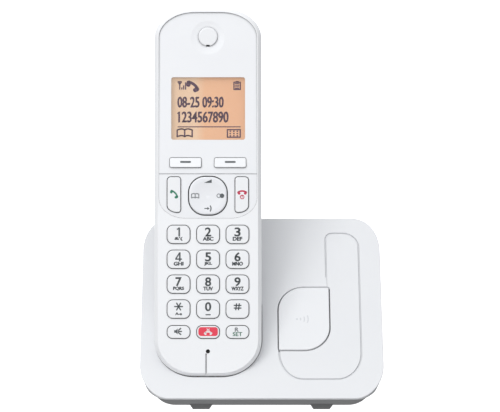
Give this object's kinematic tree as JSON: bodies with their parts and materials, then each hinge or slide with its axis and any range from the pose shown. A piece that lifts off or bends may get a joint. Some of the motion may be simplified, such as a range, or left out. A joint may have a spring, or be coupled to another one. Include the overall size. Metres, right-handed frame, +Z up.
{
  "type": "cordless phone with base",
  "caption": "Cordless telephone handset standing in a low sloped charging base, with pressing keys, rocking navigator, display, sliding battery cover and a locator key.",
  "frame": {"origin": "middle of the whole phone's outline on the surface that it stands on", "axes": "+Z up, +Y from the front of the base to its back, +X to the right as seen from the front"},
  "size_m": [0.1108, 0.119, 0.1519],
  "materials": {
    "base_shell": "satin gloss moulded plastic, light silver grey",
    "base_underside": "fine texture",
    "foot_rubber": "soft matt",
    "screw_steel": "plated",
    "board": "green solder resist",
    "shield_tin": "tinned",
    "antenna_copper": "bare wire",
    "switch_body": "plain",
    "jack_body": "plain",
    "inner_plastic": "plain",
    "locator_key": "satin gloss",
    "contact_gold": "plated",
    "handset_shell": "gloss, near white",
    "handset_back": "satin",
    "face_panel": "satin gloss",
    "earpiece_cap": "satin",
    "window": "clear lens",
    "gasket": "foam",
    "display": "amber backlit display",
    "membrane": "silicone",
    "speaker_metal": "plain",
    "cell_wrap": "shrink sleeve",
    "contact_spring": "nickel plated",
    "key_plastic": "satin gloss",
    "nav_key": "satin gloss"
  },
  "bodies": {
    "base": {"base_top_case": "base_shell", "base_bottom_case": "base_underside", "base_feet": "foot_rubber", "base_screws": "screw_steel", "base_board": "board", "base_shield": "shield_tin", "base_antennas": "antenna_copper", "locator_switch": "switch_body", "line_jack": "jack_body", "power_jack": "jack_body", "contact_holder": "inner_plastic"},
    "handset": {"handset_front_case": "handset_shell", "handset_rear_case": "handset_back", "face_panel": "face_panel", "earpiece_cap": "earpiece_cap", "display_window": "window", "display_gasket": "gasket", "lcd_glass": "display", "lcd_backlight": "inner_plastic", "handset_board": "board", "keypad_membrane": "membrane", "handset_shield": "shield_tin", "handset_antenna": "antenna_copper", "earpiece_receiver": "speaker_metal", "ringer_speaker": "speaker_metal", "microphone_boot": "gasket", "microphone": "speaker_metal", "battery_cell_left": "cell_wrap", "battery_cell_right": "cell_wrap", "battery_contacts": "contact_spring", "handset_charge_contacts": "contact_gold", "handset_screws": "screw_steel"},
    "battery_cover": {"battery_cover": "handset_back"},
    "nav_carrier": {"nav_carrier": "inner_plastic"},
    "nav_key": {"nav_key": "nav_key"},
    "locator_key": {"locator_key": "locator_key"},
    "charge_contact_left": {"charge_contact_left": "contact_gold"},
    "charge_contact_right": {"charge_contact_right": "contact_gold"},
    "key_0": {"key_0": "key_plastic"},
    "key_1": {"key_1": "key_plastic"},
    "key_2": {"key_2": "key_plastic"},
    "key_3": {"key_3": "key_plastic"},
    "key_4": {"key_4": "key_plastic"},
    "key_5": {"key_5": "key_plastic"},
    "key_6": {"key_6": "key_plastic"},
    "key_7": {"key_7": "key_plastic"},
    "key_8": {"key_8": "key_plastic"},
    "key_9": {"key_9": "key_plastic"},
    "key_star": {"key_star": "key_plastic"},
    "key_hash": {"key_hash": "key_plastic"},
    "key_speaker": {"key_speaker": "key_plastic"},
    "key_block": {"key_block": "key_plastic"},
    "key_recall": {"key_recall": "key_plastic"},
    "soft_key_left": {"soft_key_left": "key_plastic"},
    "soft_key_right": {"soft_key_right": "key_plastic"},
    "key_talk": {"key_talk": "key_plastic"},
    "key_off": {"key_off": "key_plastic"}
  },
  "joints": [
    {"name": "handset_lift", "type": "slide", "parent": "base", "child": "handset", "axis": [0, 0.5736, 0.8192], "range_m": [0, 0.12]},
    {"name": "key_0_press", "type": "slide", "parent": "handset", "child": "key_0", "axis": [0, 0.8192, -0.5736], "range_m": [0, 0.0006], "stiffness_N_per_m": 800},
    {"name": "key_1_press", "type": "slide", "parent": "handset", "child": "key_1", "axis": [0, 0.8192, -0.5736], "range_m": [0, 0.0006], "stiffness_N_per_m": 800},
    {"name": "key_2_press", "type": "slide", "parent": "handset", "child": "key_2", "axis": [0, 0.8192, -0.5736], "range_m": [0, 0.0006], "stiffness_N_per_m": 800},
    {"name": "key_3_press", "type": "slide", "parent": "handset", "child": "key_3", "axis": [0, 0.8192, -0.5736], "range_m": [0, 0.0006], "stiffness_N_per_m": 800},
    {"name": "key_4_press", "type": "slide", "parent": "handset", "child": "key_4", "axis": [0, 0.8192, -0.5736], "range_m": [0, 0.0006], "stiffness_N_per_m": 800},
    {"name": "key_5_press", "type": "slide", "parent": "handset", "child": "key_5", "axis": [0, 0.8192, -0.5736], "range_m": [0, 0.0006], "stiffness_N_per_m": 800},
    {"name": "key_6_press", "type": "slide", "parent": "handset", "child": "key_6", "axis": [0, 0.8192, -0.5736], "range_m": [0, 0.0006], "stiffness_N_per_m": 800},
    {"name": "key_7_press", "type": "slide", "parent": "handset", "child": "key_7", "axis": [0, 0.8192, -0.5736], "range_m": [0, 0.0006], "stiffness_N_per_m": 800},
    {"name": "key_8_press", "type": "slide", "parent": "handset", "child": "key_8", "axis": [0, 0.8192, -0.5736], "range_m": [0, 0.0006], "stiffness_N_per_m": 800},
    {"name": "key_9_press", "type": "slide", "parent": "handset", "child": "key_9", "axis": [0, 0.8192, -0.5736], "range_m": [0, 0.0006], "stiffness_N_per_m": 800},
    {"name": "key_star_press", "type": "slide", "parent": "handset", "child": "key_star", "axis": [0, 0.8192, -0.5736], "range_m": [0, 0.0006], "stiffness_N_per_m": 800},
    {"name": "key_hash_press", "type": "slide", "parent": "handset", "child": "key_hash", "axis": [0, 0.8192, -0.5736], "range_m": [0, 0.0006], "stiffness_N_per_m": 800},
    {"name": "key_speaker_press", "type": "slide", "parent": "handset", "child": "key_speaker", "axis": [0, 0.8192, -0.5736], "range_m": [0, 0.0006], "stiffness_N_per_m": 800},
    {"name": "key_block_press", "type": "slide", "parent": "handset", "child": "key_block", "axis": [0, 0.8192, -0.5736], "range_m": [0, 0.0006], "stiffness_N_per_m": 800},
    {"name": "key_recall_press", "type": "slide", "parent": "handset", "child": "key_recall", "axis": [0, 0.8192, -0.5736], "range_m": [0, 0.0006], "stiffness_N_per_m": 800},
    {"name": "soft_key_left_press", "type": "slide", "parent": "handset", "child": "soft_key_left", "axis": [0, 0.8192, -0.5736], "range_m": [0, 0.0006], "stiffness_N_per_m": 800},
    {"name": "soft_key_right_press", "type": "slide", "parent": "handset", "child": "soft_key_right", "axis": [0, 0.8192, -0.5736], "range_m": [0, 0.0006], "stiffness_N_per_m": 800},
    {"name": "key_talk_press", "type": "slide", "parent": "handset", "child": "key_talk", "axis": [0, 0.8192, -0.5736], "range_m": [0, 0.0006], "stiffness_N_per_m": 800},
    {"name": "key_off_press", "type": "slide", "parent": "handset", "child": "key_off", "axis": [0, 0.8192, -0.5736], "range_m": [0, 0.0006], "stiffness_N_per_m": 800},
    {"name": "navigator_left_right", "type": "hinge", "parent": "handset", "child": "nav_carrier", "pos_m": [-0.0244, -0.00236, 0.08171], "axis": [0, 0.5736, 0.8192], "range_deg": [-3, 3], "stiffness_Nm_per_rad": 0.3},
    {"name": "navigator_up_down", "type": "hinge", "parent": "nav_carrier", "child": "nav_key", "pos_m": [-0.0244, -0.00236, 0.08171], "axis": [1, 0, 0], "range_deg": [-3, 3], "stiffness_Nm_per_rad": 0.3},
    {"name": "battery_cover_slide", "type": "slide", "parent": "handset", "child": "battery_cover", "axis": [0, -0.6266, -0.7793], "range_m": [0, 0.003]},
    {"name": "locator_key_press", "type": "slide", "parent": "base", "child": "locator_key", "axis": [0, 0, -1], "range_m": [0, 0.0008], "stiffness_N_per_m": 1500},
    {"name": "charge_contact_left_press", "type": "slide", "parent": "base", "child": "charge_contact_left", "axis": [0, -0.5736, -0.8192], "range_m": [0, 0.0008], "stiffness_N_per_m": 400},
    {"name": "charge_contact_right_press", "type": "slide", "parent": "base", "child": "charge_contact_right", "axis": [0, -0.5736, -0.8192], "range_m": [0, 0.0008], "stiffness_N_per_m": 400}
  ]
}
